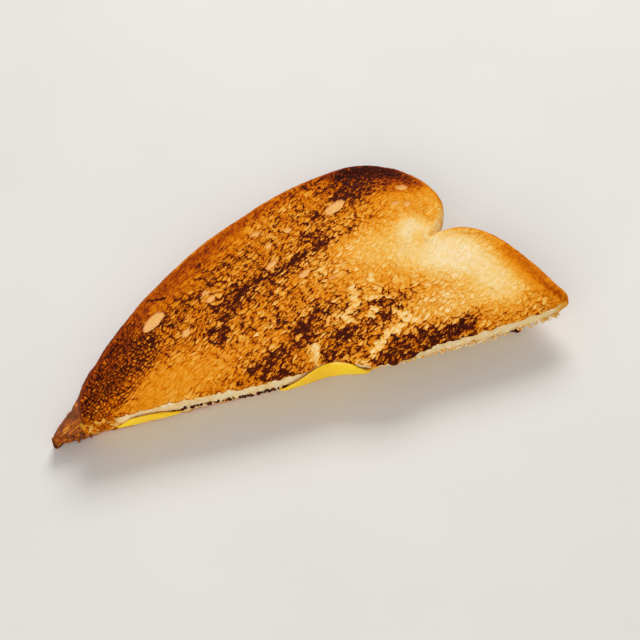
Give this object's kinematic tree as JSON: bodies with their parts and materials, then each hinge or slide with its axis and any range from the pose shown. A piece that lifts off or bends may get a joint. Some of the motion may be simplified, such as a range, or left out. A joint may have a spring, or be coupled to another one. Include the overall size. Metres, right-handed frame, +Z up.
{
  "type": "grilled cheese sandwich half",
  "caption": "Slantwise-cut half of a pan-fried cheese sandwich: toasted muffin-topped bread slices with melted cheese running out along the cut.",
  "frame": {"origin": "middle of the whole half in plan, at the height of the flat toasted face it rests on", "axes": "+X along the cut towards the foot of the loaf's side, -Y out of the cut, +Z up through the slices"},
  "size_m": [0.1656, 0.083, 0.0189],
  "materials": {
    "toasted_bread": "white bread fried in butter: golden to dark brown toasted face with scorched streaks, cream crumb on the cut",
    "toasted_bread_under": "the same bread, toasted brown underneath, with a porous brown crust at its tip",
    "melted_cheese": "melted yellow cheese, smooth and slightly greasy"
  },
  "bodies": {
    "root": {"upper_slice": "toasted_bread", "lower_slice": "toasted_bread_under", "cheese": "melted_cheese"}
  },
  "joints": []
}
